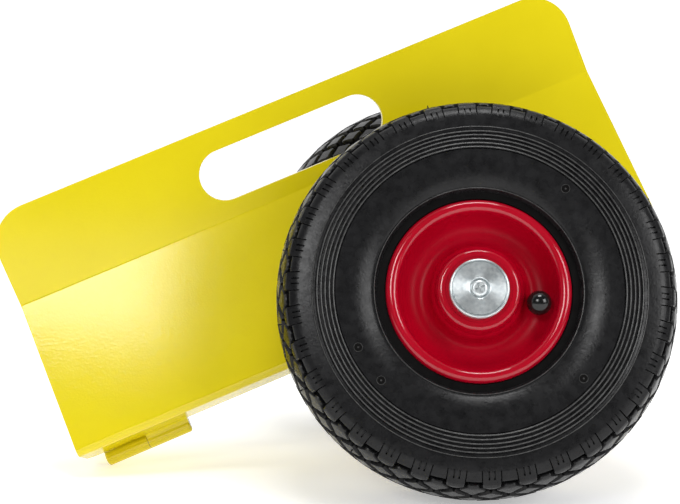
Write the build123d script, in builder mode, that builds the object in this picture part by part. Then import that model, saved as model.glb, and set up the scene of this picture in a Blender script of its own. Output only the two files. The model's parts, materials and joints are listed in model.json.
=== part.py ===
from build123d import *

import os
from math import asin, atan2, cos, degrees, hypot, radians, sin, sqrt

# A self-clamping panel dolly. Two bent sheet halves are hinged together under the
# panel, and each carries an air-filled wheel outside. The panel's weight pushes the
# hinge down, so the halves swing upright and pinch the panel. It is modelled empty and
# closed, tipped onto its long end, so it stands on both tyres and on one hinge knuckle.
# X runs along the plates towards the short end, Y across them, and Z is up. The right
# half is on the -Y side. Millimetres and degrees.

# Bent sheet halves
sheet = 2.5
panel_capacity = 81.0
plate_length = 434.0
short_end = 148.0
lower_height = 111.0
upper_height = 65.0
top_corner_radius = 28.0
bend_radius = 3.0
closed_gap = 0.3
seat_gap = 14.0
seat_corner_radius = 8.0

# Hand slot in each upper part
slot_length = 137.0
slot_width = 36.0
slot_rise = 30.6

# Hinge
pin_diameter = 6.9
pin_clearance = 0.05
pin_chamfer = 0.6
knuckle_length = 31.8
knuckle_gap = 0.4
knuckle_setback = 11.0
knuckle_end_round = 2.0
knuckle_fillet = 4.0

# Tyre
tyre_diameter = 260.0
tyre_width = 85.0
crown_radius = 88.0
tread_width = 60.0
tread_thickness = 9.0
sidewall_thickness = 6.5
shoulder_tuck = 2.2
shoulder_bulge = 2.2
bead_ring_margin = 6.8
bead_ring_stand = 0.4
bead_recess = 3.8
bead_recess_lean = 1.5
tyre_plate_gap = 7.5
lug_count = 34
lug_phase = 0.9
lug_groove_width = 9.0
lug_groove_depth = 4.5
centre_groove_place = 13.0
centre_groove_width = 4.0
centre_cut_width = 3.5
centre_cut_slant = 30.0

# Pressed rim
rim_sheet = 2.0
rim_width = 72.8
lip_width = 7.4
lip_drop = 3.6
lip_lean = 1.2
lip_fall = 0.4
lip_edge_round = 3.2
lip_crest_round = 4.0
dish_radius = 48.0
dish_width = 36.0
dish_taper = 3.4
dish_fillet_share = 0.7
boss_flange = 5.0
boss_step_rise = 9.0
boss_ledge_rise = 1.0
boss_foot_share = 0.4
boss_step_round = 3.0
boss_ledge_round = 1.0
boss_top_round = 4.2

# Hub, roller bearings and axle
hub_length = 76.0
hub_diameter = 42.0
hub_wall = 2.5
axle_diameter = 25.0
axle_inner_end = 10.0
axle_chamfer = 0.5
weld_root = 4.0
weld_toe = 8.5
weld_reach = 11.0
weld_length = 22.0
weld_setback = 3.0
roller_count = 10
roller_length = 18.0
cage_length = 22.0
cage_wall = 3.8
running_gap = 0.1
end_play = 0.5
spacer_diameter = 34.0

# Axle cap and its screw
cap_diameter = 37.8
cap_thickness = 4.0
cap_edge = 1.2
cap_recess_diameter = 12.6
cap_recess_depth = 1.2
screw_diameter = 6.0
screw_length = 20.0
head_diameter = 10.6
head_height = 2.6
head_round = 2.0
cross_length = 6.4
cross_width = 1.3
cross_depth = 1.5

# Inner tube and valve
tube_wall = 2.0
tube_gap = 0.4
valve_room = 2.4
valve_angle = -34.0
valve_base_diameter = 12.0
valve_base_thickness = 1.2
valve_diameter = 7.0
valve_reach = 13.5
valve_cap_diameter = 13.0
valve_cap_length = 10.0
valve_cap_round = 5.5

# Clearance between pieces that only rest on each other
seat_clearance = 0.05
assembly_gap = 0.3

# Places worked out from the sizes above
long_end = plate_length - short_end
plate_middle = (short_end - long_end) / 2
half_capacity = panel_capacity / 2
outer_face = half_capacity + sheet
knuckle_bore = pin_diameter / 2 + pin_clearance
knuckle_radius = knuckle_bore + sheet
seat_height = knuckle_radius
flange_underside = seat_height - sheet
crease_height = seat_height + lower_height
crease_reach = hypot(half_capacity, crease_height)
closing_angle = degrees(atan2(half_capacity, crease_height) - asin(closed_gap / crease_reach))
wheel_offset = outer_face + tyre_plate_gap + tyre_width / 2
axle_height = flange_underside - axle_diameter / 2
hub_end = hub_length / 2
hub_bore = hub_diameter / 2 - hub_wall
roller_ring_radius = (axle_diameter / 2 + hub_bore) / 2
roller_radius = (hub_bore - axle_diameter / 2) / 2 - running_gap
dish_face = dish_width / 2
dish_back = dish_face - rim_sheet
lip_inner_radius = dish_radius + dish_taper
rim_radius = lip_inner_radius + lip_width
boss_foot_radius = dish_radius - valve_room - valve_cap_diameter
dish_floor = dish_radius - boss_foot_radius
dish_fillet = dish_fillet_share * dish_floor
boss_foot_round = boss_foot_share * dish_floor
boss_radius = hub_diameter / 2 + boss_flange
boss_step_radius = (boss_foot_radius + boss_radius) / 2
boss_ledge_radius = (boss_step_radius + boss_radius) / 2
valve_place_radius = boss_foot_radius + valve_cap_diameter / 2
cap_seat = hub_end + end_play
tyre_radius = tyre_diameter / 2

# The upper parts stand upright, back to back, when the halves are closed
upper_direction = Vector(0, -sin(radians(closing_angle)), cos(radians(closing_angle)))
upper_normal = Vector(0, -cos(radians(closing_angle)), -sin(radians(closing_angle)))
crease_point = Vector(0, -half_capacity, crease_height)

# One pair of knuckles near each end, with the left half's on the outside. Each pair is
# rounded where it ends, and each knuckle is filleted to its own half's seat.
outer_knuckle_low = -long_end + knuckle_setback
inner_knuckle_low = outer_knuckle_low + knuckle_length + knuckle_gap
outer_knuckle_high = short_end - knuckle_setback - knuckle_length
inner_knuckle_high = outer_knuckle_high - knuckle_length - knuckle_gap
fillet_drop = flange_underside - knuckle_fillet
fillet_place = -sqrt((knuckle_radius + knuckle_fillet) ** 2 - fillet_drop**2)
fillet_foot = knuckle_radius / (knuckle_radius + knuckle_fillet)


def bent_plate(knuckles):
    """One sheet half on the -Y side, with the hinge axis along X through the origin."""
    top_point = crease_point + upper_direction * upper_height
    with BuildPart() as plate:
        with BuildSketch(Plane.YZ.offset(-long_end)):
            with BuildLine():
                FilletPolyline(
                    (-seat_gap / 2, seat_height),
                    (-half_capacity, seat_height),
                    (crease_point.Y, crease_point.Z),
                    (top_point.Y, top_point.Z),
                    radius=[bend_radius, bend_radius + sheet],
                )
                offset(amount=sheet, side=Side.LEFT)
            make_face()
        extrude(amount=plate_length)
        top_corners = plate.edges().filter_by(Axis((0, 0, 0), upper_normal)).group_by(Axis.Z)[-1]
        fillet(top_corners, radius=top_corner_radius)

        slot_centre = crease_point + upper_direction * slot_rise + Vector(plate_middle, 0, 0)
        with BuildSketch(Plane(origin=slot_centre, x_dir=(1, 0, 0), z_dir=upper_normal)):
            SlotOverall(slot_length, slot_width)
        extrude(amount=2 * sheet, both=True, mode=Mode.SUBTRACT)

        seat_corners = plate.edges().filter_by(Axis.Z).filter_by_position(Axis.Z, 0, seat_height)
        fillet(seat_corners, radius=seat_corner_radius)

        # Weld on both sides of the axle, which lies along the underside of the seat
        weld_toe_height = axle_height + sqrt((axle_diameter / 2) ** 2 - weld_toe**2)
        with BuildSketch(Plane.XZ.offset(axle_inner_end + weld_setback)):
            Polygon(
                (weld_root, flange_underside),
                (weld_reach, flange_underside),
                (weld_toe, weld_toe_height),
                (weld_root, weld_toe_height),
                align=None,
            )
            with Locations((0, axle_height)):
                Circle(axle_diameter / 2 + seat_clearance, mode=Mode.SUBTRACT)
            mirror(about=Plane.YZ)
        extrude(amount=weld_length)

        for start, free_end in knuckles:
            with BuildSketch(Plane.XY):
                with Locations((start, 0)):
                    Rectangle(knuckle_length, knuckle_radius, align=Align.MIN)
                rim_corners = vertices().group_by(Axis.Y)[-1].sort_by(Axis.X)
                fillet(rim_corners[free_end], radius=knuckle_end_round)
            revolve(axis=Axis.X)
            with BuildSketch(Plane.YZ.offset(start)):
                with Locations((0, seat_height)):
                    Rectangle(seat_gap / 2 + sheet, sheet, align=Align.MAX)
                Polygon(
                    (0, flange_underside),
                    (fillet_place, flange_underside),
                    (fillet_place * fillet_foot, fillet_drop * fillet_foot),
                    align=None,
                )
                with Locations((fillet_place, fillet_drop)):
                    Circle(knuckle_fillet, mode=Mode.SUBTRACT)
            extrude(amount=knuckle_length)
            with BuildSketch(Plane.YZ.offset(start)):
                Circle(knuckle_bore)
            extrude(amount=knuckle_length, mode=Mode.SUBTRACT)
    return plate.part


with BuildPart() as right_side_plate:
    add(bent_plate(((inner_knuckle_low, -1), (inner_knuckle_high, 0))))

with BuildPart() as left_side_plate:
    add(bent_plate(((outer_knuckle_low, 0), (outer_knuckle_high, -1))))
    mirror(about=Plane.XZ, mode=Mode.REPLACE)


def hinge_pin(start):
    """A pin through one pair of knuckles, flush with their outer ends."""
    length = 2 * knuckle_length + knuckle_gap
    with BuildPart() as pin:
        with BuildSketch(Plane.YZ.offset(start)):
            Circle(pin_diameter / 2)
        extrude(amount=length)
        chamfer(pin.edges().filter_by(GeomType.CIRCLE), length=pin_chamfer)
    return pin.part


with BuildPart() as low_hinge_pin:
    add(hinge_pin(outer_knuckle_low))

with BuildPart() as high_hinge_pin:
    add(hinge_pin(inner_knuckle_high))


# Wheel pieces stand on the wheel's own axes: Z is the axle, with Z = 0 at the middle of
# the tyre and +Z outwards. Profiles are drawn as radius across and Z up.

crown_edge = tread_width / 2
crown_centre = tyre_radius - crown_radius
crown_edge_radius = crown_centre + sqrt(crown_radius**2 - crown_edge**2)
side_edge = tyre_width / 2
shoulder_radius = crown_edge_radius - (side_edge - crown_edge)
shoulder_edge = side_edge - shoulder_tuck
bead_ring_radius = rim_radius + bead_ring_margin
bead_edge = rim_width / 2 + bead_ring_stand
widest_radius = (bead_ring_radius + tyre_radius) / 2
bead_face = rim_width / 2 - lip_drop - rim_sheet
wall_slope = (lip_inner_radius - dish_radius) / (rim_width / 2 - dish_face)
toe_edge = dish_face + rim_sheet
heel_radius = dish_radius + wall_slope * (bead_face - dish_back) + rim_sheet + assembly_gap
toe_radius = dish_radius + wall_slope * (toe_edge - dish_back) + rim_sheet + assembly_gap
bead_clear_radius = rim_radius + 2 * assembly_gap
cavity_radius = tyre_radius - tread_thickness
cavity_bulge = (
    crown_centre + sqrt(crown_radius**2 - (crown_edge / 2) ** 2) - tread_thickness,
    crown_edge / 2,
)
cavity_shoulder = (shoulder_radius, shoulder_edge - sidewall_thickness - lug_groove_depth)
cavity_side = (widest_radius - 2 * sidewall_thickness, side_edge - sidewall_thickness)
cavity_toe = (toe_radius + sidewall_thickness, toe_edge)

with BuildPart() as tyre:
    with BuildSketch(Plane.XZ):
        with BuildLine():
            crown_end = (crown_edge_radius, crown_edge)
            shoulder_end = (shoulder_radius, shoulder_edge)
            shoulder_middle = (
                (crown_edge_radius + shoulder_radius) / 2 + shoulder_bulge,
                (crown_edge + shoulder_edge) / 2 + shoulder_bulge,
            )
            bead_ring = (bead_ring_radius, bead_edge)
            RadiusArc((tyre_radius, 0), crown_end, crown_radius)
            ThreePointArc(crown_end, shoulder_middle, shoulder_end)
            ThreePointArc(shoulder_end, (widest_radius, side_edge), bead_ring)
            Polyline(
                bead_ring,
                (bead_ring_radius - bead_recess_lean, bead_edge - bead_recess),
                (bead_clear_radius, bead_edge - bead_recess),
                (bead_clear_radius, bead_face),
                (heel_radius, bead_face),
                (toe_radius, toe_edge),
                cavity_toe,
            )
            ThreePointArc(cavity_toe, cavity_side, cavity_shoulder)
            ThreePointArc(cavity_shoulder, cavity_bulge, (cavity_radius, 0))
            mirror(about=Plane.XZ)
        make_face()
    revolve(axis=Axis.Z)

    # Open channels between the shoulder blocks
    groove_start = centre_groove_place + centre_groove_width
    groove_start_radius = crown_centre + sqrt(crown_radius**2 - groove_start**2)
    with BuildSketch(Plane.XZ):
        Polygon(
            (groove_start_radius - lug_groove_depth, groove_start),
            (crown_edge_radius - lug_groove_depth, crown_edge - lug_groove_depth / 2),
            (shoulder_radius - lug_groove_depth / 2, shoulder_edge - lug_groove_depth),
            (shoulder_radius - lug_groove_depth, side_edge + lug_groove_depth),
            (tyre_radius + lug_groove_depth, side_edge + lug_groove_depth),
            (tyre_radius + lug_groove_depth, groove_start),
            align=None,
        )
    outer_groove = extrude(amount=lug_groove_width / 2, both=True, mode=Mode.PRIVATE)
    inner_groove = mirror(outer_groove, about=Plane.XY, mode=Mode.PRIVATE)
    with PolarLocations(0, lug_count, start_angle=lug_phase):
        add(outer_groove, mode=Mode.SUBTRACT)
        add(inner_groove, mode=Mode.SUBTRACT)

    # Two grooves round the tread, beside its middle row
    with BuildSketch(Plane.XZ):
        groove_place = crown_centre + sqrt(crown_radius**2 - centre_groove_place**2)
        for side in (-1, 1):
            with Locations((groove_place, side * centre_groove_place)):
                Rectangle(2 * lug_groove_depth, centre_groove_width)
    revolve(axis=Axis.Z, mode=Mode.SUBTRACT)

    # Slanted cuts that part the middle row into blocks
    with BuildSketch(Plane.YZ.offset(tyre_radius - lug_groove_depth)):
        Rectangle(centre_cut_width, 2 * centre_groove_place, rotation=centre_cut_slant)
    middle_cut = extrude(amount=2 * lug_groove_depth, mode=Mode.PRIVATE)
    with PolarLocations(0, lug_count):
        add(middle_cut, mode=Mode.SUBTRACT)

# The tube fills the tyre and the trough between the two rim pressings
tube_side = dish_back - valve_base_thickness - assembly_gap
tube_inner_radius = boss_foot_radius
with BuildPart() as inner_tube:
    with BuildSketch(Plane.XZ):
        with BuildLine():
            tube_toe = (cavity_toe[0], tube_side)
            tube_bulge = (cavity_side[0], cavity_side[1] - tube_gap)
            tube_shoulder = (cavity_shoulder[0] - tube_gap, cavity_shoulder[1] - tube_gap)
            ThreePointArc(tube_toe, tube_bulge, tube_shoulder)
            tube_top = (cavity_bulge[0] - 2 * tube_gap, cavity_bulge[1])
            ThreePointArc(tube_shoulder, tube_top, (cavity_radius - 2 * tube_gap, 0))
            Line(tube_toe, (tube_inner_radius, tube_side))
            Line((tube_inner_radius, tube_side), (tube_inner_radius, 0))
            mirror(about=Plane.XZ)
        make_face()
        offset(amount=-tube_wall, kind=Kind.INTERSECTION, mode=Mode.SUBTRACT)
    revolve(axis=Axis.Z)


def rim_pressing():
    """The outer pressing: rolled lip, deep dish, and a stepped boss round the hub."""
    lip_top = rim_width / 2
    step_top = dish_face + boss_step_rise
    with BuildPart() as pressing:
        with BuildSketch(Plane.XZ):
            with BuildLine():
                FilletPolyline(
                    (rim_radius, lip_top - lip_drop),
                    (rim_radius - lip_lean, lip_top),
                    (lip_inner_radius, lip_top - lip_fall),
                    (dish_radius, dish_face),
                    (boss_foot_radius, dish_face),
                    (boss_step_radius, step_top),
                    (boss_ledge_radius, step_top + boss_ledge_rise),
                    (boss_radius, hub_end),
                    (hub_diameter / 2 + seat_clearance, hub_end),
                    radius=[
                        lip_edge_round,
                        lip_crest_round,
                        dish_fillet,
                        boss_foot_round,
                        boss_step_round,
                        boss_ledge_round,
                        boss_top_round,
                    ],
                )
                offset(amount=rim_sheet, side=Side.LEFT)
            make_face()
        revolve(axis=Axis.Z)
    return pressing.part


with BuildPart() as rim_outer:
    add(rim_pressing())
    with BuildSketch(Plane.XY):
        with PolarLocations(valve_place_radius, 1, start_angle=valve_angle):
            Circle(valve_diameter / 2 + assembly_gap)
    extrude(amount=rim_width, mode=Mode.SUBTRACT)

with BuildPart() as rim_inner:
    add(rim_pressing())
    mirror(about=Plane.XY, mode=Mode.REPLACE)

with BuildPart() as hub_tube:
    with BuildSketch(Plane.XY.offset(-hub_end)):
        Circle(hub_diameter / 2)
        Circle(hub_bore, mode=Mode.SUBTRACT)
    extrude(amount=hub_length)


def roller_cage(low_end):
    """A cage ring with one pocket for each roller."""
    with BuildPart() as cage:
        with BuildSketch(Plane.XY.offset(low_end)):
            Circle(roller_ring_radius + cage_wall / 2)
            Circle(roller_ring_radius - cage_wall / 2, mode=Mode.SUBTRACT)
        extrude(amount=cage_length)
        pocket_start = low_end + (cage_length - roller_length) / 2 - assembly_gap
        with BuildSketch(Plane.XY.offset(pocket_start)):
            with PolarLocations(roller_ring_radius, roller_count):
                Circle(roller_radius + running_gap)
        extrude(amount=roller_length + 2 * assembly_gap, mode=Mode.SUBTRACT)
    return cage.part


def roller_set(low_end):
    """The rollers of one cage, each a separate solid."""
    with BuildPart() as rollers:
        with BuildSketch(Plane.XY.offset(low_end + (cage_length - roller_length) / 2)):
            with PolarLocations(roller_ring_radius, roller_count):
                Circle(roller_radius)
        extrude(amount=roller_length)
    return rollers.part


outer_cage_start = hub_end - cage_length
inner_cage_start = -hub_end

with BuildPart() as outer_roller_cage:
    add(roller_cage(outer_cage_start))

with BuildPart() as outer_rollers:
    add(roller_set(outer_cage_start))

with BuildPart() as inner_roller_cage:
    add(roller_cage(inner_cage_start))

with BuildPart() as inner_rollers:
    add(roller_set(inner_cage_start))

with BuildPart() as valve_stem:
    with BuildSketch(Plane.XY.offset(tube_side + assembly_gap / 2)):
        with PolarLocations(valve_place_radius, 1, start_angle=valve_angle):
            Circle(valve_base_diameter / 2)
    extrude(amount=valve_base_thickness)
    with BuildSketch(Plane.XY.offset(tube_side + assembly_gap / 2)):
        with PolarLocations(valve_place_radius, 1, start_angle=valve_angle):
            Circle(valve_diameter / 2)
    extrude(amount=dish_face - tube_side + valve_reach)

with BuildPart() as valve_cap:
    cap_foot = dish_face + valve_reach - valve_cap_length + 2 * assembly_gap
    with BuildSketch(Plane.XY.offset(cap_foot)):
        with PolarLocations(valve_place_radius, 1, start_angle=valve_angle):
            Circle(valve_cap_diameter / 2)
    extrude(amount=valve_cap_length + valve_cap_round)
    fillet(valve_cap.edges().group_by(Axis.Z)[-1], radius=valve_cap_round)
    with BuildSketch(Plane.XY.offset(cap_foot)):
        with PolarLocations(valve_place_radius, 1, start_angle=valve_angle):
            Circle(valve_diameter / 2 + seat_clearance)
    extrude(amount=valve_cap_length, mode=Mode.SUBTRACT)

with BuildPart() as axle:
    with BuildSketch(Plane.XY.offset(axle_inner_end - wheel_offset)):
        Circle(axle_diameter / 2)
    extrude(amount=cap_seat - axle_inner_end + wheel_offset)
    chamfer(axle.edges().filter_by(GeomType.CIRCLE), length=axle_chamfer)
    with BuildSketch(Plane.XY.offset(cap_seat)):
        Circle(screw_diameter / 2 + seat_clearance)
    extrude(amount=-screw_length, mode=Mode.SUBTRACT)

with BuildPart() as axle_spacer:
    spacer_start = outer_face + seat_clearance - wheel_offset
    with BuildSketch(Plane.XY.offset(spacer_start)):
        Circle(spacer_diameter / 2)
        Circle(axle_diameter / 2 + seat_clearance, mode=Mode.SUBTRACT)
    extrude(amount=-hub_end - end_play - spacer_start)

with BuildPart() as axle_cap:
    with BuildSketch(Plane.XY.offset(cap_seat)):
        Circle(cap_diameter / 2)
    extrude(amount=cap_thickness)
    fillet(axle_cap.edges().group_by(Axis.Z)[-1], radius=cap_edge)
    with BuildSketch(Plane.XY.offset(cap_seat + cap_thickness)):
        Circle(cap_recess_diameter / 2)
    extrude(amount=-cap_recess_depth, mode=Mode.SUBTRACT)
    with BuildSketch(Plane.XY.offset(cap_seat)):
        Circle(screw_diameter / 2 + seat_clearance)
    extrude(amount=cap_thickness, mode=Mode.SUBTRACT)

with BuildPart() as cap_screw:
    head_seat = cap_seat + cap_thickness - cap_recess_depth
    with BuildSketch(Plane.XY.offset(head_seat)):
        Circle(head_diameter / 2)
    extrude(amount=head_height)
    fillet(cap_screw.edges().group_by(Axis.Z)[-1], radius=head_round)
    with BuildSketch(Plane.XY.offset(head_seat)):
        Circle(screw_diameter / 2)
    extrude(amount=-screw_length)
    with BuildSketch(Plane.XY.offset(head_seat + head_height)):
        Rectangle(cross_length, cross_width)
        Rectangle(cross_width, cross_length)
    extrude(amount=-cross_depth, mode=Mode.SUBTRACT)

# Rest pose: the closed halves tip down until a knuckle's rounded end meets the floor
closing = radians(closing_angle)
wheel_rise = wheel_offset * sin(closing) + axle_height * cos(closing)
tilt = 0.0
for _ in range(20):
    axle_lean = sin(closing) * cos(tilt)
    tyre_drop = crown_centre * sqrt(1 - axle_lean**2) + crown_radius
    floor = wheel_rise * cos(tilt) - tyre_drop
    round_drop = (knuckle_radius - knuckle_end_round) * cos(tilt) + knuckle_end_round
    tilt = asin((floor + round_drop) / (outer_knuckle_low + knuckle_end_round))
tipped = Rot(Y=-degrees(tilt))

plates = {"right": right_side_plate, "left": left_side_plate}
pins = {"low_hinge_pin": low_hinge_pin, "high_hinge_pin": high_hinge_pin}
wheel_pieces = {
    "tyre": tyre,
    "inner_tube": inner_tube,
    "rim_outer": rim_outer,
    "rim_inner": rim_inner,
    "hub_tube": hub_tube,
    "outer_roller_cage": outer_roller_cage,
    "outer_rollers": outer_rollers,
    "inner_roller_cage": inner_roller_cage,
    "inner_rollers": inner_rollers,
    "valve_stem": valve_stem,
    "valve_cap": valve_cap,
    "axle": axle,
    "axle_spacer": axle_spacer,
    "axle_cap": axle_cap,
    "cap_screw": cap_screw,
}

placed = {}
for side, hand in (("right", -1), ("left", 1)):
    half_place = tipped * Rot(X=hand * closing_angle)
    wheel_plane = Plane(
        origin=(0, hand * wheel_offset, axle_height), x_dir=(1, 0, 0), z_dir=(0, hand, 0)
    )
    placed[f"{side}_side_plate"] = half_place * plates[side].part
    for name, piece in wheel_pieces.items():
        placed[f"{side}_{name}"] = half_place * wheel_plane.location * piece.part
for name, pin in pins.items():
    placed[name] = tipped * Rot(X=-closing_angle) * pin.part

# The origin is under the middle of the whole dolly, on the floor
boxes = [piece.bounding_box() for piece in placed.values()]
middle_x = (min(box.min.X for box in boxes) + max(box.max.X for box in boxes)) / 2
middle_y = (min(box.min.Y for box in boxes) + max(box.max.Y for box in boxes)) / 2
to_origin = Pos(-middle_x, -middle_y, -min(box.min.Z for box in boxes))

os.makedirs("parts", exist_ok=True)
for name, piece in placed.items():
    finished = to_origin * piece
    finished.label = name
    export_step(finished, f"parts/{name}.step")

print("closing angle", closing_angle, "tilt", degrees(tilt))
print("hinge point", (to_origin * Pos(0, 0, 0)).position)
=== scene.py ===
import json
import random
from math import asin, atan2, cos, hypot, pi, radians, sin, sqrt, tau

import bpy
from mathutils import Matrix, Vector


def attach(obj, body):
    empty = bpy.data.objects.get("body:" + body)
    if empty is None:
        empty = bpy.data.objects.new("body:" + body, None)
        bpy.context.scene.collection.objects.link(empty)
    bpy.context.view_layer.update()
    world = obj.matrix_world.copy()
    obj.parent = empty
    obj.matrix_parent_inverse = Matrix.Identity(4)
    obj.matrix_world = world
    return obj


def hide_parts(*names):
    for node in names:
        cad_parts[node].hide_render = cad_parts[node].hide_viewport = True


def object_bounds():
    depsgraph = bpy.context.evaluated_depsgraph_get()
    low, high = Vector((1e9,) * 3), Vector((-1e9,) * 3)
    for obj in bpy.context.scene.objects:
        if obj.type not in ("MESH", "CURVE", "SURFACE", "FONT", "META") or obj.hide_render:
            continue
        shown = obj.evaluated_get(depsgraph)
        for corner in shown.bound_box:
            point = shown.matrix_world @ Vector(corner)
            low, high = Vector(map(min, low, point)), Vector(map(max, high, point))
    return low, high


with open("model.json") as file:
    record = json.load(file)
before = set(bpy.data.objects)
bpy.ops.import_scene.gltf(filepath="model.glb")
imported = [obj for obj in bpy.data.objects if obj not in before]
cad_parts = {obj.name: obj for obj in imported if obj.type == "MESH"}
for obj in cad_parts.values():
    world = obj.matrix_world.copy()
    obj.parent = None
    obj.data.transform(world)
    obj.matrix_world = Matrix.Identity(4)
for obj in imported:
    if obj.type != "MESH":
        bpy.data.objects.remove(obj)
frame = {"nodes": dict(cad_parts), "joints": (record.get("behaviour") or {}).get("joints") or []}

box_at_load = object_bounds()
scene = bpy.context.scene
nodes = frame["nodes"]
joints = {joint["name"]: joint for joint in frame["joints"]}
mm = 0.001
both_sides = (1, -1)

# Sizes of the tyre in metres, where a pair is a radius and a place out from the wheel's middle
tyre_radius = 130 * mm
tyre_half_width = 42.5 * mm
crown_radius = 88 * mm
crown_edge = 30 * mm
shoulder_tuck = 1.2 * mm
shoulder_bulge = 1.8 * mm
side_top = (98 * mm, 42.5 * mm)
side_knee = (84 * mm, 41.9 * mm)
side_turn = (75 * mm, 40.2 * mm)
bead_ring = (65.6 * mm, 36.1 * mm)
recess_radius = 64.1 * mm
recess_edge = 33.0 * mm
bead_clear_radius = 59.4 * mm
bead_face = 30.8 * mm
heel_radius = 53.0 * mm
toe_radius = 51.0 * mm
toe_edge = 20 * mm
toe_thickness = 6.5 * mm
cavity_radius = 121 * mm
cavity_half_width = 36 * mm
cavity_side_drop = 13 * mm
cavity_shoulder = (112 * mm, 29.3 * mm)
cavity_crown = (119.7 * mm, 15 * mm)

# Lugs: each pitch has a row of them across the tread
pitches = 34
lug_phase = radians(6.2)
groove_depth = 4.8 * mm
lug_sink = 0.5 * mm
lug_draft = 1.1 * mm
lug_chamfer = 0.8 * mm
chamfer_slope = 0.8
chamfer_share = 0.45

# Shoulder faces and the slits between them; starts and ends are reaches, along the outline from mid-tread
pocket_end = 40.4 * mm
pocket_wall_foot = 0.3 * mm
pocket_wall_top = 0.2 * mm
face_depth = 1.6 * mm
face_floor_end = 46.6 * mm
face_end = 47.6 * mm
face_proud = 0.14 * mm
run_end = 52.0 * mm
web_lead = 0.4 * mm
slit_gap = 0.7 * mm
slit_place = 1.7 * mm
slit_half = 0.52 * mm
slit_floor_half = 0.8 * slit_half
slit_depth = 1.5 * mm
slit_start = 41.8 * mm
slit_end = 47.2 * mm
slit_lead = 0.3 * mm
slit_clear = 1.2 * mm

# Sidewall: one sharp ridge, five fine ribs below it and a thin ring by the bead, placed by radius
ridge_radius = 104.8 * mm
ridge_half = 0.5 * mm
rib_radii = (101.8 * mm, 99.25 * mm, 96.7 * mm, 94.0 * mm, 91.5 * mm)
rib_half = 0.8 * mm
rib_height = 0.65 * mm
rib_gap = 0.65 * mm
rib_clear = 0.6 * mm
ring_half = 0.55 * mm
ring_sink = 0.1 * mm
ring_clear = 2.4 * ring_half

# Round vent marks on the sidewall: radii and heights of a floor painted near-black as painted shade, a rim
# painted lighter as a painted highlight, and a pip
vent_mark_radius = 84.5 * mm
vent_mark_angles = [radians(angle) for angle in (-177, -160, -65, 26)]
vent_mark_floor = [(r * mm, lift * mm) for r, lift in ((2.7, -0.4), (2.7, 0.06), (0.6, 0.06), (0.6, -0.4))]
vent_mark_rim = [(r * mm, lift * mm) for r, lift in ((3.1, -0.4), (2.8, 0.3), (2.6, 0.3), (2.4, -0.4))]
vent_mark_pip_radius = 0.9 * mm
vent_mark_pip_height = 0.4 * mm

# Vent pips; strays and a range of heights are in millimetres, but the sidewall's stray is in radians
pip_seed = 7
pip_sink = 0.4 * mm
pip_taper = 0.55
face_pip_places = (-3.4 * mm, 3.4 * mm)
face_pip_share = 0.5
face_pip_stray = 0.4
face_pip_size = 0.3 * mm
lug_pip_share = 0.1
lug_pip_stray = 2.0
lug_pip_radius = 0.6 * mm
lug_pip_heights = (0.8, 1.8)
side_pip_place = 78.5 * mm
side_pip_cycle = 3
side_pips_in_cycle = 2
side_pip_stray = 0.03
side_pip_radius = 0.7 * mm
side_pip_height = 0.5 * mm

# Diamond lugs in the middle rows
row_pitch = 10.15 * mm
diamond_half_length = 6.0 * mm
diamond_half_width = 7.8 * mm
diamond_bend = 0.5
diamond_corner = 0.6 * mm
tip_half_width = 0.7 * mm
tip_length = 0.5 * mm
tip_spread = 0.5 * mm
tip_drop = 0.3 * mm

# Kite lugs in the last row, which end in a stem: place from the centre, half the width, height there
kite_half_width = 8.0 * mm
stem_half_width = 3.2 * mm
stem_end = 37.1 * mm
stem_chamfer = 0.5 * mm
stem_taper = 0.4 * mm
stem_drop = 0.3 * mm
stem_end_drop = 0.8 * mm
kite_stations = (
    (-7.4 * mm, tip_half_width, -tip_drop),
    (-6.8 * mm, tip_half_width + tip_spread, 0.0),
    (-3.6 * mm, kite_half_width * 0.52, 0.0),
    (-0.2 * mm, kite_half_width, 0.0),
    (0.7 * mm, kite_half_width, 0.0),
    (2.6 * mm, kite_half_width * 0.78, 0.0),
    (4.2 * mm, stem_half_width + 0.8 * mm, -0.1 * mm),
    (5.0 * mm, stem_half_width, -0.2 * mm),
)

# House lugs on the shoulder, by reach: a roof's tip, a wall, the tread's edge and a brow over the face
house_tip = 33.3 * mm
house_tip_half_width = 1.7 * mm
house_roof_lead = 0.4 * mm
house_roof_half_width = 2.2 * mm
house_roof_parts = (0.5, 0.4, 0.3, 0.2)
house_wall = 35.4 * mm
house_wall_proud = 0.3 * mm
house_half_width = 5.5 * mm
house_edge = 38.7 * mm
house_edge_turn = 0.3 * mm
house_edge_drop = 0.05 * mm
house_proud = 0.9 * mm
brow_place = house_edge + 1.6 * mm
brow_proud = house_proud * 0.5

# Pressed rim; the dish's curve is radius and place out from the wheel's middle, in millimetres
rim_sheet = 2.0 * mm
lip_radius = 54.7 * mm
lip_place = 32.3 * mm
lip_round = 4.1 * mm
lip_start = radians(-10)
lip_sweep = radians(188)
satin_top = 32.4 * mm
dish_curve = (
    (50.5, 31.6), (49.6, 28.0), (47.9, 24.2), (45.2, 20.9), (41.6, 18.8), (37.8, 18.0), (34.6, 18.5),
    (32.2, 20.2), (30.7, 22.8), (29.8, 25.6), (28.9, 27.4), (27.8, 28.9), (27.2, 31.5), (26.7, 34.3),
    (25.8, 36.7), (24.0, 37.9), (21.1, 38.0),
)

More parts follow.
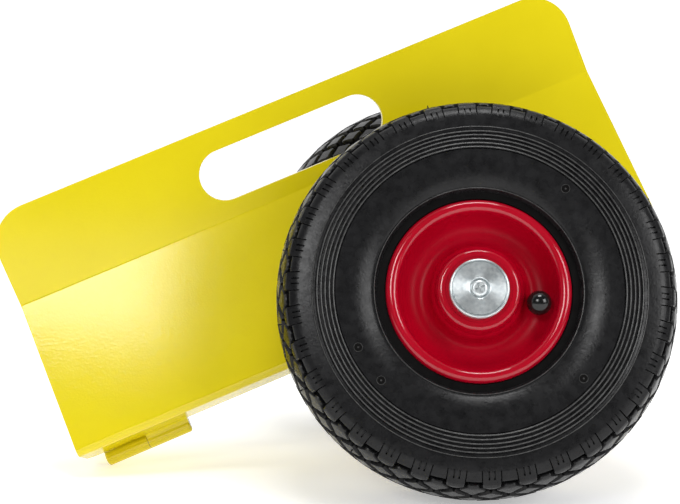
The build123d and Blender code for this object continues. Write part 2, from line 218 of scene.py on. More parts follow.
# Axle cap; its groove goes in from the edge and down, its lip out from the screw's recess and down
cap_radius = 18.9 * mm
cap_foot = 38.5 * mm
cap_foot_chamfer = 0.3 * mm
cap_top = 42.5 * mm
cap_edge = 1.2 * mm
cap_groove = ((1.5 * mm, 0.0), (1.6 * mm, 0.9 * mm), (2.1 * mm, 0.9 * mm), (2.2 * mm, 0.1 * mm))
cap_hollow_radius = cap_radius * 0.6
cap_hollow = 0.15 * mm
cap_lip = ((0.9 * mm, 0.1 * mm), (0.5 * mm, 0.0), (0.0, 0.25 * mm))
cap_recess_radius = 6.3 * mm
cap_recess_draft = 0.4 * mm
cap_recess_floor = 41.3 * mm
cap_bore = 3.05 * mm

# Valve cap: a neck of radii and heights over its foot, then a bulb in steps from below its middle
valve_radius = 39.1 * mm
valve_angle = radians(-34)
valve_foot = 22.6 * mm
valve_neck = ((5.7 * mm, 0.0), (6.1 * mm, 0.4 * mm), (6.2 * mm, 2.2 * mm), (6.5 * mm, 3.4 * mm))
valve_top = 37.8 * mm
valve_bulb = 7.9 * mm
valve_bulb_step = pi / 18
valve_bulb_steps = range(-3, 9)

# Fineness of the meshes: steps along a stretch of an outline, or round a turned piece
crown_steps = 40
shoulder_steps = 30
side_steps = 40
knee_steps = 30
floor_steps = 10
floor_steps_per_row = 3
face_floor_steps = 5
face_to_ridge_steps = 8
rib_steps = 6
plain_steps = 14
cavity_side_steps = 10
cavity_crown_steps = 5
run_out_steps = 8
casing_steps_per_pitch = 8
casing_turns = pitches * casing_steps_per_pitch
pip_sides = 6
vent_mark_sides = 16
lip_steps = 12
dish_steps = 4
rim_turns = 160
cap_edge_steps = 6
cap_turns = 96
valve_turns = 40
sharp_angle = radians(32)

# Which of a piece's materials a face has, by its place in their list
# The second tyre rubber is near-black painted shade on the bead recess and vent-mark floors; the third is
# lighter painted highlight on rib tops, vent-mark rims and pips
plain_band, painted_shade_band, painted_highlight_band = 0, 1, 2
gloss_band, satin_band = 0, 1

# Studio
view_place = Vector((-0.0890, -0.9445, 0.2535))
view_azimuth = radians(5.9424)
view_elevation = radians(-6.1915)
view_roll = radians(-0.1882)
view_lens = 70.7391
view_sensor = 36.0
floor_reach = 40.0
floor_front = 1.8
floor_glow = 0.4
sky_facing = (0.0, 1.0, 0.2)
sky_fade = (-0.05, 0.35)
sky_strength = (0.1, 1.18)
white = (1.0, 1.0, 1.0, 1.0)


def arc(start, middle, end, count):
    """Points on the circle through three points, from start to end."""
    (x1, y1), (x2, y2), (x3, y3) = start, middle, end
    turn = 2 * (x1 * (y2 - y3) + x2 * (y3 - y1) + x3 * (y1 - y2))
    a, b, c = x1 * x1 + y1 * y1, x2 * x2 + y2 * y2, x3 * x3 + y3 * y3
    cx = (a * (y2 - y3) + b * (y3 - y1) + c * (y1 - y2)) / turn
    cy = (a * (x3 - x2) + b * (x1 - x3) + c * (x2 - x1)) / turn
    radius = hypot(x1 - cx, y1 - cy)
    first, last = atan2(y1 - cy, x1 - cx), atan2(y3 - cy, x3 - cx)
    sweep = (last - first + pi) % tau - pi
    return [
        (cx + radius * cos(first + sweep * k / count), cy + radius * sin(first + sweep * k / count))
        for k in range(count + 1)
    ]


# The tyre's outline from mid-tread to the ring by the bead, and the reach of each of its points
crown_centre = tyre_radius - crown_radius
crown_middle_angle = asin(crown_edge / crown_radius) / 2
crown_middle = (
    crown_centre + crown_radius * cos(crown_middle_angle),
    crown_radius * sin(crown_middle_angle),
)
crown_end = (crown_centre + sqrt(crown_radius**2 - crown_edge**2), crown_edge)
shoulder_end = (crown_end[0] - (tyre_half_width - crown_edge), tyre_half_width - shoulder_tuck)
shoulder_middle = (
    (crown_end[0] + shoulder_end[0]) / 2 + shoulder_bulge,
    (crown_end[1] + shoulder_end[1]) / 2 + shoulder_bulge,
)
outline = arc((tyre_radius, 0.0), crown_middle, crown_end, crown_steps)
outline += arc(crown_end, shoulder_middle, shoulder_end, shoulder_steps)[1:]
outline += arc(shoulder_end, side_top, side_knee, side_steps)[1:]
outline += arc(side_knee, side_turn, bead_ring, knee_steps)[1:]
reaches = [0.0]
for near, far in zip(outline, outline[1:]):
    reaches.append(reaches[-1] + hypot(far[0] - near[0], far[1] - near[1]))


def on_outline(reach):
    """Radius, place along the axle and outward direction of the tyre's outline at a reach."""
    if reach < 0:
        r, z, out_r, out_z = on_outline(-reach)
        return r, -z, out_r, -out_z
    k = 0
    while k < len(reaches) - 2 and reaches[k + 1] < reach:
        k += 1
    (r1, z1), (r2, z2) = outline[k], outline[k + 1]
    part = (reach - reaches[k]) / (reaches[k + 1] - reaches[k])
    length = hypot(r2 - r1, z2 - z1)
    return r1 + (r2 - r1) * part, z1 + (z2 - z1) * part, (z2 - z1) / length, -(r2 - r1) / length


def raised(reach, height):
    """The outline's point at a reach, moved out by a height."""
    r, z, out_r, out_z = on_outline(reach)
    return r + out_r * height, z + out_z * height


def reach_at(radius):
    """The reach at which the sidewall comes down to a radius."""
    k = next(k for k in range(len(outline) - 1) if outline[k + 1][0] <= radius)
    part = (outline[k][0] - radius) / (outline[k][0] - outline[k + 1][0])
    return reaches[k] + (reaches[k + 1] - reaches[k]) * part


def round_point(r, z, angle):
    """The point at a radius, a place along the axle and an angle round it."""
    return Vector((r * cos(angle), r * sin(angle), z))


def spun_points(profile, turns):
    """The points of a profile at each step round the axle."""
    return [round_point(r, z, tau * turn / turns) for turn in range(turns) for r, z in profile]


def loop_faces(size, turns):
    """The faces between closed loops of points, all the way round."""
    faces = []
    for turn in range(turns):
        here, there = turn * size, (turn + 1) % turns * size
        for k in range(size):
            after = (k + 1) % size
            faces.append((here + k, there + k, there + after, here + after))
    return faces


def rib(place, half_width, foot, height):
    """A round rib on the outline, from its foot to its top and down again."""
    points = []
    for k in range(rib_steps + 1):
        turn = pi * k / rib_steps
        points.append(raised(place - half_width * cos(turn), foot + (height - foot) * sin(turn)))
    return points


def rib_top(first):
    """The two uppermost stretches of a rib that starts at a point of the profile."""
    return [first + rib_steps // 2 - 1, first + rib_steps // 2]


def casing():
    """The tyre without its lugs, turned from one closed profile, and each face's rubber."""
    half = [raised(row_pitch * k / floor_steps_per_row, -groove_depth) for k in range(floor_steps + 1)]
    half += [raised(house_wall, -groove_depth), raised(pocket_end - pocket_wall_foot, -groove_depth)]
    half += [raised(pocket_end + pocket_wall_top, -face_depth)]
    half += [
        raised(pocket_end + (face_floor_end - pocket_end) * k / face_floor_steps, -face_depth)
        for k in range(1, face_floor_steps + 1)
    ]
    ridge = reach_at(ridge_radius)
    half += [
        raised(face_end + (ridge - face_end) * k / face_to_ridge_steps, 0)
        for k in range(face_to_ridge_steps)
    ]
    # The tops of the ridge, the ribs and the ring are painted lighter: a painted highlight
    tops = rib_top(len(half))
    half += rib(ridge, ridge_half, 0, rib_height)
    for radius in rib_radii:
        tops += rib_top(len(half))
        half += rib(reach_at(radius), rib_half, -rib_gap, rib_height)
    plain_start = reach_at(rib_radii[-1]) + rib_half + rib_clear
    plain_end = reaches[-1] - ring_clear
    half += [
        raised(plain_start + (plain_end - plain_start) * k / plain_steps, 0)
        for k in range(plain_steps + 1)
    ]
    tops += rib_top(len(half))
    half += rib(reaches[-1] - ring_half, ring_half, -ring_sink, ring_half)
    # The recess by the bead takes the near-black rubber: painted shade
    recess = range(len(half), len(half) + 2)
    half += [(recess_radius, recess_edge), (bead_clear_radius, recess_edge), (bead_clear_radius, bead_face)]
    half += [(heel_radius, bead_face), (toe_radius, toe_edge)]
    cavity_toe = (toe_radius + toe_thickness, toe_edge)
    cavity_side = (side_top[0] - cavity_side_drop, cavity_half_width)
    half += arc(cavity_toe, cavity_side, cavity_shoulder, cavity_side_steps)
    half += arc(cavity_shoulder, cavity_crown, (cavity_radius, 0.0), cavity_crown_steps)[1:]
    loop = half + [(r, -z) for r, z in reversed(half[1:-1])]
    size = len(loop)
    bands = [plain_band] * size
    for stretches, band in ((tops, painted_highlight_band), (recess, painted_shade_band)):
        for k in stretches:
            bands[k] = band
            bands[size - 1 - k] = band
    return spun_points(loop, casing_turns), loop_faces(size, casing_turns), bands * casing_turns


def lug(stations, angle, side, slits=False):
    """One closed lug: a row of points across at each station, joined into a chamfered block."""
    points, faces = [], []
    for reach, half_width, depth, proud in stations:
        r, z, out_r, out_z = on_outline(reach)
        chamfer = min(lug_chamfer * (depth / groove_depth) ** 2, half_width * chamfer_share)
        draft = lug_draft * depth / groove_depth
        slit = slit_depth if slits and slit_start < reach < slit_end else 0.0
        across = [
            (-half_width - draft, -depth - lug_sink),
            (-half_width, -chamfer_slope * chamfer),
            (chamfer - half_width, 0.0),
        ]
        if slits and half_width > 2 * slit_place:
            across += [
                (-slit_place - slit_half, 0.0),
                (-slit_place - slit_floor_half, -slit),
                (-slit_place + slit_floor_half, -slit),
                (-slit_place + slit_half, 0.0),
            ]
        elif slits:
            across += [(-half_width * part, 0.0) for part in house_roof_parts]
        across += [(0.0, 0.0)] + [(-sideways, height) for sideways, height in reversed(across)]
        for sideways, height in across:
            lift = height + proud
            points.append(round_point(r + out_r * lift, side * (z + out_z * lift), angle + sideways / r))
        size = len(across)
    for row in range(len(stations) - 1):
        here, there = row * size, (row + 1) * size
        for k in range(size):
            after = (k + 1) % size
            faces.append((here + k, here + after, there + after, there + k))
    faces.append(tuple(reversed(range(size))))
    faces.append(tuple(range(len(points) - size, len(points))))
    if side < 0:
        faces = [tuple(reversed(face)) for face in faces]
    return points, faces


def diamond(centre):
    """Stations of a diamond lug in the middle rows."""
    start, end = centre - diamond_half_length, centre + diamond_half_length
    bend = diamond_half_length * diamond_bend
    bend_half_width = diamond_half_width * diamond_bend
    return [
        (start, tip_half_width, groove_depth, -tip_drop),
        (start + tip_length, tip_half_width + tip_spread, groove_depth, 0.0),
        (centre - bend, bend_half_width, groove_depth, 0.0),
        (centre - diamond_corner, diamond_half_width, groove_depth, 0.0),
        (centre + diamond_corner, diamond_half_width, groove_depth, 0.0),
        (centre + bend, bend_half_width, groove_depth, 0.0),
        (end - tip_length, tip_half_width + tip_spread, groove_depth, 0.0),
        (end, tip_half_width, groove_depth, -tip_drop),
    ]


def kite(centre):
    """Stations of the last diamond row, which ends in a stem that hangs into the pocket."""
    return [
        (centre + place, half_width, groove_depth, proud) for place, half_width, proud in kite_stations
    ] + [
        (stem_end - stem_chamfer, stem_half_width, groove_depth, -stem_drop),
        (stem_end, stem_half_width - stem_taper, groove_depth, -stem_end_drop),
    ]


def run_out():
    """Reach and height of a shoulder face that sinks slowly into the sidewall."""
    first = slit_start + slit_clear
    half_steps = run_out_steps / 2
    return [
        (first + (run_end - first) * k / run_out_steps, face_proud * (1 - k / half_steps))
        for k in range(run_out_steps + 1)
    ]


def house():
    """Stations of a shoulder lug: a roof on the tread, then a face down the shoulder."""
    return [
        (house_tip, house_tip_half_width, groove_depth, -tip_drop),
        (house_tip + house_roof_lead, house_roof_half_width, groove_depth, 0.0),
        (house_wall, house_half_width, groove_depth, house_wall_proud),
        (house_edge, house_half_width, groove_depth, house_proud),
        (house_edge + house_edge_turn, house_half_width, face_depth, house_proud - house_edge_drop),
        (brow_place, house_half_width, face_depth, brow_proud),
        (slit_start, house_half_width, face_depth, face_proud),
        (slit_start + slit_lead, house_half_width, face_depth, face_proud),
    ] + [
        (reach, house_half_width, face_depth, proud) for reach, proud in run_out()
    ]


def web():
    """Stations of the plain face between two shoulder lugs, a slit's width from each."""
    start = [(pocket_end, 0.0), (pocket_end + web_lead, face_proud), (slit_start, face_proud)]
    stations = []
    for reach, proud in start + run_out():
        half_pitch = on_outline(reach)[0] * pi / pitches
        stations.append((reach, half_pitch - house_half_width - slit_gap, face_depth, proud))
    return stations


def standing(reach, angle, side):
    """A place on the tyre and three directions there: outwards, round the wheel and across."""
    r, z, out_r, out_z = on_outline(reach)
    out = Vector((out_r * cos(angle), out_r * sin(angle), side * out_z))
    along = Vector((-sin(angle), cos(angle), 0))
    return round_point(r, side * z, angle), out, along, out.cross(along)


def vent_ring(angle, side, profile):
    """A ring of the small round mark that a vent in the mould leaves on the sidewall."""
    base, out, along, across = standing(reach_at(vent_mark_radius), angle, side)
    points = []
    for k in range(vent_mark_sides):
        turn = tau * k / vent_mark_sides
        spoke = along * cos(turn) + across * sin(turn)
        points += [base + spoke * radius + out * lift for radius, lift in profile]
    return points, loop_faces(len(profile), vent_mark_sides)


def pip(reach, angle, side, radius, height, foot=0.0):
    """A vent pip: a short stub of rubber with a few sides that stands on the tyre."""
    base, out, along, across = standing(reach, angle, side)
    points, faces = [], []
    for lift, wide in ((foot - pip_sink, 1.0), (foot + height, pip_taper)):
        for k in range(pip_sides):
            turn = tau * k / pip_sides
            spoke = along * cos(turn) + across * sin(turn)
            points.append(base + out * lift + spoke * radius * wide)
    for k in range(pip_sides):
        after = (k + 1) % pip_sides
        faces.append((k, after, after + pip_sides, k + pip_sides))
    faces.append(tuple(reversed(range(pip_sides))))
    faces.append(tuple(range(pip_sides, 2 * pip_sides)))
    return points, faces


def tread():
    """Lugs and vent pips all round one tyre."""
    shapes = []
    chance = random.Random(pip_seed)

    def stray(most):
        """A random way to either side."""
        return chance.uniform(-most, most)

    for k in range(pitches):
        angle = lug_phase + tau * k / pitches
        between = angle + pi / pitches
        shapes.append(lug(diamond(0.0), angle, 1))
        for side in both_sides:
            shapes.append(lug(diamond(row_pitch), between, side))
            shapes.append(lug(diamond(2 * row_pitch), angle, side))
            shapes.append(lug(kite(3 * row_pitch), between, side))
            shapes.append(lug(house(), angle, side, slits=True))
            shapes.append(lug(web(), between, side))
            for place in face_pip_places:
                if chance.random() < face_pip_share:
                    spot = angle + (place + stray(face_pip_stray) * mm) / tyre_radius
                    shapes.append(pip(brow_place, spot, side, face_pip_size, face_pip_size, brow_proud))
            if chance.random() < lug_pip_share:
                reach = 2 * row_pitch + stray(lug_pip_stray) * mm
                spot = angle + stray(lug_pip_stray) * mm / tyre_radius
                shapes.append(pip(reach, spot, side, lug_pip_radius, chance.uniform(*lug_pip_heights) * mm))
            if k % side_pip_cycle < side_pips_in_cycle:
                spot = angle + stray(side_pip_stray)
                shapes.append(pip(reach_at(side_pip_place), spot, side, side_pip_radius, side_pip_height))
    return shapes


def vent_marks():
    """The round marks on both sidewalls: floors darkened as painted shade, and rims and pips lightened as a
    painted highlight.
    """
    dark, highlighted = [], []
    reach = reach_at(vent_mark_radius)
    for angle in vent_mark_angles:
        for side in both_sides:
            dark.append(vent_ring(angle, side, vent_mark_floor))
            highlighted.append(vent_ring(angle, side, vent_mark_rim))
            highlighted.append(pip(reach, angle, side, vent_mark_pip_radius, vent_mark_pip_height))
    return dark, highlighted


def tyre_mesh():
    """Casing, tread and vent marks of one tyre, on the wheel's own axes, and each face's rubber."""
    points, faces, bands = casing()
    dark, highlighted = vent_marks()
    for group, band in ((tread(), plain_band), (dark, painted_shade_band), (highlighted, painted_highlight_band)):
        for some_points, some_faces in group:
            first = len(points)
            points += some_points
            faces += [tuple(first + k for k in face) for face in some_faces]
            bands += [band] * len(some_faces)
    return points, faces, bands


def smooth_line(points, steps):
    """A smooth line through points, with a number of steps from each to the next."""
    ends = [points[0], *points, points[-1]]
    line = []
    for before, near, far, after in zip(ends, ends[1:], ends[2:], ends[3:]):
        for k in range(steps):
            part = k / steps
            line.append(tuple(
                0.5 * (2 * b + (c - a) * part + (2 * a - 5 * b + 4 * c - d) * part**2
                       + (3 * b - a - 3 * c + d) * part**3)
                for a, b, c, d in zip(before, near, far, after)
            ))
    return line + [points[-1]]


def rim_mesh():
    """The outer pressing of the rim: round lip, deep smooth dish and a stepped boss, one sheet thick."""
    face = []
    for k in range(lip_steps + 1):
        turn = lip_start + lip_sweep * k / lip_steps
        face.append((lip_radius + lip_round * cos(turn), lip_place + lip_round * sin(turn)))
    face += smooth_line([(r * mm, z * mm) for r, z in dish_curve], dish_steps)
    back = []
    for k, (r, z) in enumerate(face):
        (r1, z1), (r2, z2) = face[max(k - 1, 0)], face[min(k + 1, len(face) - 1)]
        length = hypot(r2 - r1, z2 - z1)
        back.append((r - (z2 - z1) / length * rim_sheet, z + (r2 - r1) / length * rim_sheet))
    bands = [gloss_band if z > satin_top else satin_band for r, z in face] + [satin_band] * len(back)
    loop = face + back[::-1]
    return spun_points(loop, rim_turns), loop_faces(len(loop), rim_turns), bands * rim_turns


def turned(profile, turns):
    """A closed piece turned from a profile that starts and ends on the axis."""
    rings = profile[1:-1]
    points = spun_points(rings, turns)
    points += [Vector((0.0, 0.0, profile[0][1])), Vector((0.0, 0.0, profile[-1][1]))]
    size, first, last = len(rings), len(points) - 2, len(points) - 1
    faces = []
    for turn in range(turns):
        here, there = turn * size, (turn + 1) % turns * size
        for k in range(size - 1):
            faces.append((here + k, there + k, there + k + 1, here + k + 1))
        faces.append((first, there, here))
        faces.append((last, here + size - 1, there + size - 1))
    return points, faces


def axle_cap_mesh():
    """The pressed cap on the axle's end: round edge, thin groove, rolled lip round the screw's recess."""
    profile = [(0.0, cap_foot), (cap_radius - cap_foot_chamfer, cap_foot)]
    profile.append((cap_radius, cap_foot + cap_foot_chamfer))
    for k in range(cap_edge_steps + 1):
        turn = pi / 2 * k / cap_edge_steps
        profile.append((cap_radius - cap_edge * (1 - cos(turn)), cap_top - cap_edge * (1 - sin(turn))))
    profile += [(cap_radius - inwards, cap_top - down) for inwards, down in cap_groove]
    profile.append((cap_hollow_radius, cap_top - cap_hollow))
    profile += [(cap_recess_radius + outwards, cap_top - down) for outwards, down in cap_lip]
    for radius in (cap_recess_radius - cap_recess_draft, cap_bore, 0.0):
        profile.append((radius, cap_recess_floor))
    return turned(profile, cap_turns)


def valve_cap_mesh():
    """The soft cap on the valve: a short neck under a round bulb."""
    profile = [(0.0, valve_foot)]
    profile += [(radius, valve_foot + height) for radius, height in valve_neck]
    middle = valve_top - valve_bulb
    for k in valve_bulb_steps:
        turn = valve_bulb_step * k
        profile.append((valve_bulb * cos(turn), middle + valve_bulb * sin(turn)))
    profile.append((0.0, valve_top))
    points, faces = turned(profile, valve_turns)
    place = round_point(valve_radius, 0.0, valve_angle)
    return [place + point for point in points], faces


def wheel_axes(side):
    """The wheel's own axes in the row frame: X along the plate, Z outwards along the axle."""
    joint = joints[f"{side}_wheel_spin"]
    outward = Vector(joint["axis"]).normalized()
    along = -Vector(joints["clamp_hinge"]["axis"]).normalized()
    turn = Matrix((along, outward.cross(along), outward)).transposed()
    return Matrix.Translation(joint["pos_m"]) @ turn.to_4x4()


def carried(axes, points):
    """Points on a wheel's own axes, carried to the wheel's place."""
    return [axes @ point for point in points]


def add_mesh(name, points, faces, materials, bands=None):
    """A new piece with smooth faces and sharp edges; bands tell which material each face has."""
    mesh = bpy.data.meshes.new(name)
    mesh.from_pydata(points, [], faces)
    for material in materials:
        mesh.materials.append(material)
    mesh.shade_smooth()
    mesh.set_sharp_from_angle(angle=sharp_angle)
    if bands:
        mesh.polygons.foreach_set("material_index", bands)
    mesh.update()
    piece = bpy.data.objects.new(name, mesh)
    scene.collection.objects.link(piece)
    return piece


def colour(red, green, blue):
    """A screen colour out of 255, as the linear colour that a shader takes."""
    def linear(value):
        part = value / 255
        return part / 12.92 if part <= 0.04045 else ((part + 0.055) / 1.055) ** 2.4
    return (linear(red), linear(green), linear(blue), 1.0)


class Finish:
    """One procedural material, uneven in shade and gloss by noise over the object."""

    shade_span = (0.35, 0.65)
    roughness_span = (0.3, 0.7)

    def __init__(self, name, roughness, metallic=0.0, gloss=0.5):
        self.material = bpy.data.materials.new(name)
        self.material.use_nodes = True
        self.tree = self.material.node_tree
        self.shader = self.tree.nodes["Principled BSDF"]
        self.shader.inputs["Metallic"].default_value = metallic
        self.shader.inputs["Roughness"].default_value = roughness
        self.shader.inputs["Specular IOR Level"].default_value = gloss
        self.place = self.tree.nodes.new("ShaderNodeTexCoord").outputs["Object"]

    def noise(self, scale, detail):
        """A value that wanders over the object."""
        node = self.tree.nodes.new("ShaderNodeTexNoise")
        node.inputs["Scale"].default_value = scale
        node.inputs["Detail"].default_value = detail
        self.tree.links.new(self.place, node.inputs["Vector"])
        return node.outputs["Fac"]

    def shade(self, dark, light, scale, detail=3.0):
        """Let the base colour wander between two shades."""
        value = self.noise(scale, detail)
        node = self.tree.nodes.new("ShaderNodeValToRGB")
        for stop, position, shade in zip(node.color_ramp.elements, self.shade_span, (dark, light)):
            stop.position = position
            stop.color = shade
        self.tree.links.new(value, node.inputs["Fac"])
        self.tree.links.new(node.outputs["Color"], self.shader.inputs["Base Color"])

    def roughen(self, low, high, scale, detail=3.0):
        """Let the roughness wander between two values."""
        value = self.noise(scale, detail)
        node = self.tree.nodes.new("ShaderNodeMapRange")
        node.inputs["From Min"].default_value, node.inputs["From Max"].default_value = self.roughness_span
        node.inputs["To Min"].default_value = low
        node.inputs["To Max"].default_value = high
        self.tree.links.new(value, node.inputs["Value"])
        self.tree.links.new(node.outputs["Result"], self.shader.inputs["Roughness"])

    def grain(self, strength, distance, scale, detail):
        """Give the surface a fine unevenness."""
        value = self.noise(scale, detail)
        node = self.tree.nodes.new("ShaderNodeBump")
        node.inputs["Strength"].default_value = strength
        node.inputs["Distance"].default_value = distance
        self.tree.links.new(value, node.inputs["Height"])
        self.tree.links.new(node.outputs["Normal"], self.shader.inputs["Normal"])


def yellow_paint():
    finish = Finish("yellow powder coat", roughness=0.2)
    finish.shade(colour(222, 203, 17), colour(226, 207, 21), scale=14)
    finish.roughen(0.1, 0.13, scale=160)
    finish.grain(strength=0.16, distance=0.3 * mm, scale=700, detail=1.5)
    return finish.material


def red_paint(name, gloss, low, high):
    """Red paint between two roughnesses, a little uneven as sprayed."""
    finish = Finish(name, roughness=high, gloss=gloss)
    finish.shade(colour(162, 1, 26), colour(169, 3, 31), scale=25)
    finish.roughen(low, high, scale=120)
    finish.grain(strength=0.03, distance=0.3 * mm, scale=420, detail=1.0)
    return finish.material


def tyre_rubber():
    finish = Finish("tyre rubber", roughness=0.4, gloss=0.23)
    finish.shade(colour(18, 18, 19), colour(27, 27, 28), scale=140, detail=6.0)
    finish.roughen(0.22, 0.34, scale=220, detail=5.0)
    finish.grain(strength=0.4, distance=0.25 * mm, scale=480, detail=6.0)
    return finish.material


# Lighter rubber on rib and ring tops and on vent-mark rims and pips: a painted highlight
def painted_highlight_rubber():
    finish = Finish("painted highlight rubber", roughness=0.35, gloss=0.34)
    finish.shade(colour(50, 50, 50), colour(74, 74, 73), scale=300, detail=5.0)
    finish.roughen(0.25, 0.38, scale=260, detail=4.0)
    return finish.material


# Near-black rubber that paints shade into the bead recess and the vent marks' floors
def painted_shade_rubber():
    finish = Finish("painted shade rubber", roughness=0.5, gloss=0.08)
    finish.shade(colour(7, 6, 6), colour(11, 10, 10), scale=160, detail=4.0)
    finish.roughen(0.42, 0.55, scale=220)
    return finish.material


def tube_rubber():
    finish = Finish("tube rubber", roughness=0.5)
    finish.shade(colour(30, 30, 32), colour(44, 44, 45), scale=80, detail=4.0)
    finish.roughen(0.45, 0.6, scale=120)
    return finish.material


def zinc():
    finish = Finish("zinc plate", roughness=0.36, metallic=0.8)
    finish.shade(colour(206, 213, 215), colour(226, 231, 232), scale=420, detail=6.0)
    finish.roughen(0.3, 0.42, scale=700, detail=4.0)
    finish.grain(strength=0.05, distance=0.1 * mm, scale=1200, detail=3.0)
    return finish.material


def spun_zinc(centre):
    """Plate on a face turned in a lathe: its marks run round the centre, so gloss spreads outwards."""
    brushing = 0.75
    finish = Finish("spun zinc plate", roughness=0.36, metallic=0.9)
    finish.shade(colour(200, 208, 211), colour(224, 230, 231), scale=420, detail=6.0)
    finish.roughen(0.3, 0.4, scale=700, detail=4.0)
    finish.shader.inputs["Anisotropic"].default_value = brushing
    outwards = finish.tree.nodes.new("ShaderNodeVectorMath")
    outwards.operation = "SUBTRACT"
    outwards.inputs[1].default_value = centre
    finish.tree.links.new(finish.place, outwards.inputs[0])
    in_world = finish.tree.nodes.new("ShaderNodeVectorTransform")
    in_world.vector_type = "VECTOR"
    in_world.convert_from = "OBJECT"
    in_world.convert_to = "WORLD"
    finish.tree.links.new(outwards.outputs["Vector"], in_world.inputs["Vector"])
    finish.tree.links.new(in_world.outputs["Vector"], finish.shader.inputs["Tangent"])
    return finish.material


def steel():
    finish = Finish("bright steel", roughness=0.3, metallic=1.0)
    finish.shade(colour(150, 150, 152), colour(178, 178, 180), scale=150, detail=4.0)
    finish.roughen(0.2, 0.38, scale=400, detail=4.0)
    return finish.material


def cage_plastic():
    finish = Finish("cage nylon", roughness=0.5)
    finish.shade(colour(214, 206, 186), colour(226, 219, 200), scale=120)
    finish.roughen(0.42, 0.55, scale=300)
    return finish.material


def valve_brass():
    finish = Finish("valve brass", roughness=0.3, metallic=1.0)
    finish.shade(colour(190, 150, 82), colour(212, 174, 104), scale=200, detail=4.0)
    finish.roughen(0.25, 0.4, scale=500, detail=4.0)
    return finish.material


def black_plastic():
    finish = Finish("black plastic", roughness=0.15)
    finish.shade(colour(12, 13, 13), colour(20, 22, 22), scale=150)
    finish.roughen(0.12, 0.2, scale=300)
    return finish.material


def floor_paper():
    finish = Finish("studio paper", roughness=0.7)
    finish.shade(colour(244, 244, 243), colour(250, 250, 250), scale=4)
    finish.roughen(0.6, 0.75, scale=20)
    finish.shader.inputs["Emission Color"].default_value = white
    finish.shader.inputs["Emission Strength"].default_value = floor_glow
    return finish.material


def surround():
    """A white sky that lights from behind and stays dim in front, so that glossy faces keep their depth."""
    world = bpy.data.worlds.new("studio")
    scene.world = world
    world.use_nodes = True
    tree = world.node_tree
    sky = tree.nodes["Background"]
    sky.inputs["Color"].default_value = white
    facing = tree.nodes.new("ShaderNodeVectorMath")
    facing.operation = "DOT_PRODUCT"
    facing.inputs[1].default_value = sky_facing
    tree.links.new(tree.nodes.new("ShaderNodeTexCoord").outputs["Generated"], facing.inputs[0])
    fade = tree.nodes.new("ShaderNodeMapRange")
    fade.inputs["From Min"].default_value, fade.inputs["From Max"].default_value = sky_fade
    fade.inputs["To Min"].default_value, fade.inputs["To Max"].default_value = sky_strength
    tree.links.new(facing.outputs["Value"], fade.inputs["Value"])
    seen = tree.nodes.new("ShaderNodeMath")
    seen.operation = "MAXIMUM"
    tree.links.new(fade.outputs["Result"], seen.inputs[0])
    tree.links.new(tree.nodes.new("ShaderNodeLightPath").outputs["Is Camera Ray"], seen.inputs[1])
    tree.links.new(seen.outputs["Value"], sky.inputs["Strength"])


def softbox(name, place, aim, wide, high, power):
    """A soft rectangular light at a place, looking along a direction."""
    light = bpy.data.lights.new(name, "AREA")
    light.shape = "RECTANGLE"
    light.size = wide
    light.size_y = high
    light.energy = power
    lamp = bpy.data.objects.new(name, light)
    lamp.location = place
    lamp.rotation_mode = "QUATERNION"
    lamp.rotation_quaternion = Vector(aim).to_track_quat("-Z", "Y")
    scene.collection.objects.link(lamp)


def photo_view():
    """The camera where the photograph was taken."""
    lens = bpy.data.cameras.new("view")
    lens.sensor_fit = "HORIZONTAL"
    lens.sensor_width = view_sensor
    lens.lens = view_lens
    camera = bpy.data.objects.new("view", lens)
    forward = Vector((
        sin(view_azimuth) * cos(view_elevation),
        cos(view_azimuth) * cos(view_elevation),
        sin(view_elevation),
    ))
    right = Vector((cos(view_azimuth), -sin(view_azimuth), 0.0))
    up = right.cross(forward)
    rolled_right = right * cos(view_roll) + up * sin(view_roll)
    rolled_up = up * cos(view_roll) - right * sin(view_roll)
    turn = Matrix((rolled_right, rolled_up, -forward)).transposed()
    camera.matrix_world = Matrix.Translation(view_place) @ turn.to_4x4()
    scene.collection.objects.link(camera)
    scene.camera = camera


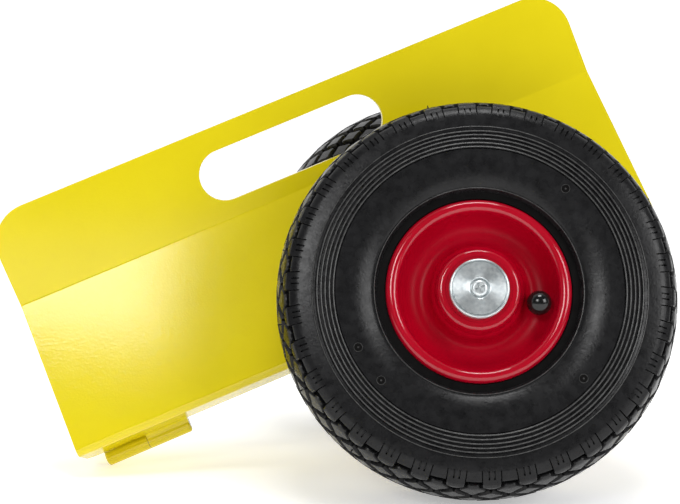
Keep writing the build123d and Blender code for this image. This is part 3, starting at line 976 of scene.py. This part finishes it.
# Finishes of the solids, by a word in the node's name; the first word that fits is taken
rubber = tyre_rubber()
red = red_paint("red gloss paint", gloss=0.6, low=0.09, high=0.14)
dish_red = red_paint("red satin paint", gloss=0.1, low=0.26, high=0.34)
metal, plate_zinc = steel(), zinc()
finishes = {
    "side_plate": yellow_paint(),
    "tyre": rubber,
    "inner_tube": tube_rubber(),
    "rim": red,
    "hub_tube": red,
    "cage": cage_plastic(),
    "roller": metal,
    "valve_stem": valve_brass(),
    "valve_cap": black_plastic(),
    "axle_spacer": plate_zinc,
    "axle_cap": plate_zinc,
    "cap_screw": plate_zinc,
    "axle": metal,
    "hinge_pin": metal,
}
for name, node in nodes.items():
    word = next(word for word in finishes if word in name)
    node.data.materials.clear()
    node.data.materials.append(finishes[word])

# Pieces of each wheel that stand for plainer solids
tyre_points, tyre_faces, tyre_bands = tyre_mesh()
# Plain rubber, near-black painted-shade rubber and lighter painted-highlight rubber
tyre_materials = [rubber, painted_shade_rubber(), painted_highlight_rubber()]
rim_points, rim_faces, rim_bands = rim_mesh()
axle_cap_points, axle_cap_faces = axle_cap_mesh()
valve_cap_points, valve_cap_faces = valve_cap_mesh()
for side in ("right", "left"):
    axes = wheel_axes(side)
    points = carried(axes, tyre_points)
    piece = add_mesh(f"{side}_tread_tyre", points, tyre_faces, tyre_materials, tyre_bands)
    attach(piece, f"{side}_wheel")
    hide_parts(f"{side}_tyre")
    points = carried(axes, rim_points)
    piece = add_mesh(f"{side}_pressed_rim", points, rim_faces, [red, dish_red], rim_bands)
    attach(piece, f"{side}_wheel")
    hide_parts(f"{side}_rim_outer")
    points = carried(axes, axle_cap_points)
    piece = add_mesh(f"{side}_turned_cap", points, axle_cap_faces, [spun_zinc(axes.translation)])
    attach(piece, f"{side}_half")
    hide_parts(f"{side}_axle_cap")
    points = carried(axes, valve_cap_points)
    piece = add_mesh(f"{side}_bulb_cap", points, valve_cap_faces, [finishes["valve_cap"]])
    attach(piece, f"{side}_wheel")
    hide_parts(f"{side}_valve_cap")

# Studio floor, sky, lights and camera
ground = box_at_load[0].z
corners = [
    Vector((x * floor_reach, y, ground))
    for x, y in ((-1, -floor_front), (1, -floor_front), (1, floor_reach), (-1, floor_reach))
]
floor = add_mesh("floor", corners, [(0, 1, 2, 3)], [floor_paper()])
surround()
softbox(
    "key softbox", place=(-1.095, -1.845, 1.397), aim=(0.303, 0.844, -0.443),
    wide=0.8, high=0.68, power=17.0,
)
softbox(
    "right softbox", place=(1.25, -1.45, 0.95), aim=(-0.606, 0.674, -0.42),
    wide=0.8, high=0.9, power=15.0,
)
softbox(
    "top softbox", place=(0.1, -0.55, 2.0), aim=(0.0, 0.2, -1.0),
    wide=0.8, high=0.5, power=13.0,
)
scene.view_settings.view_transform = "Standard"
photo_view()
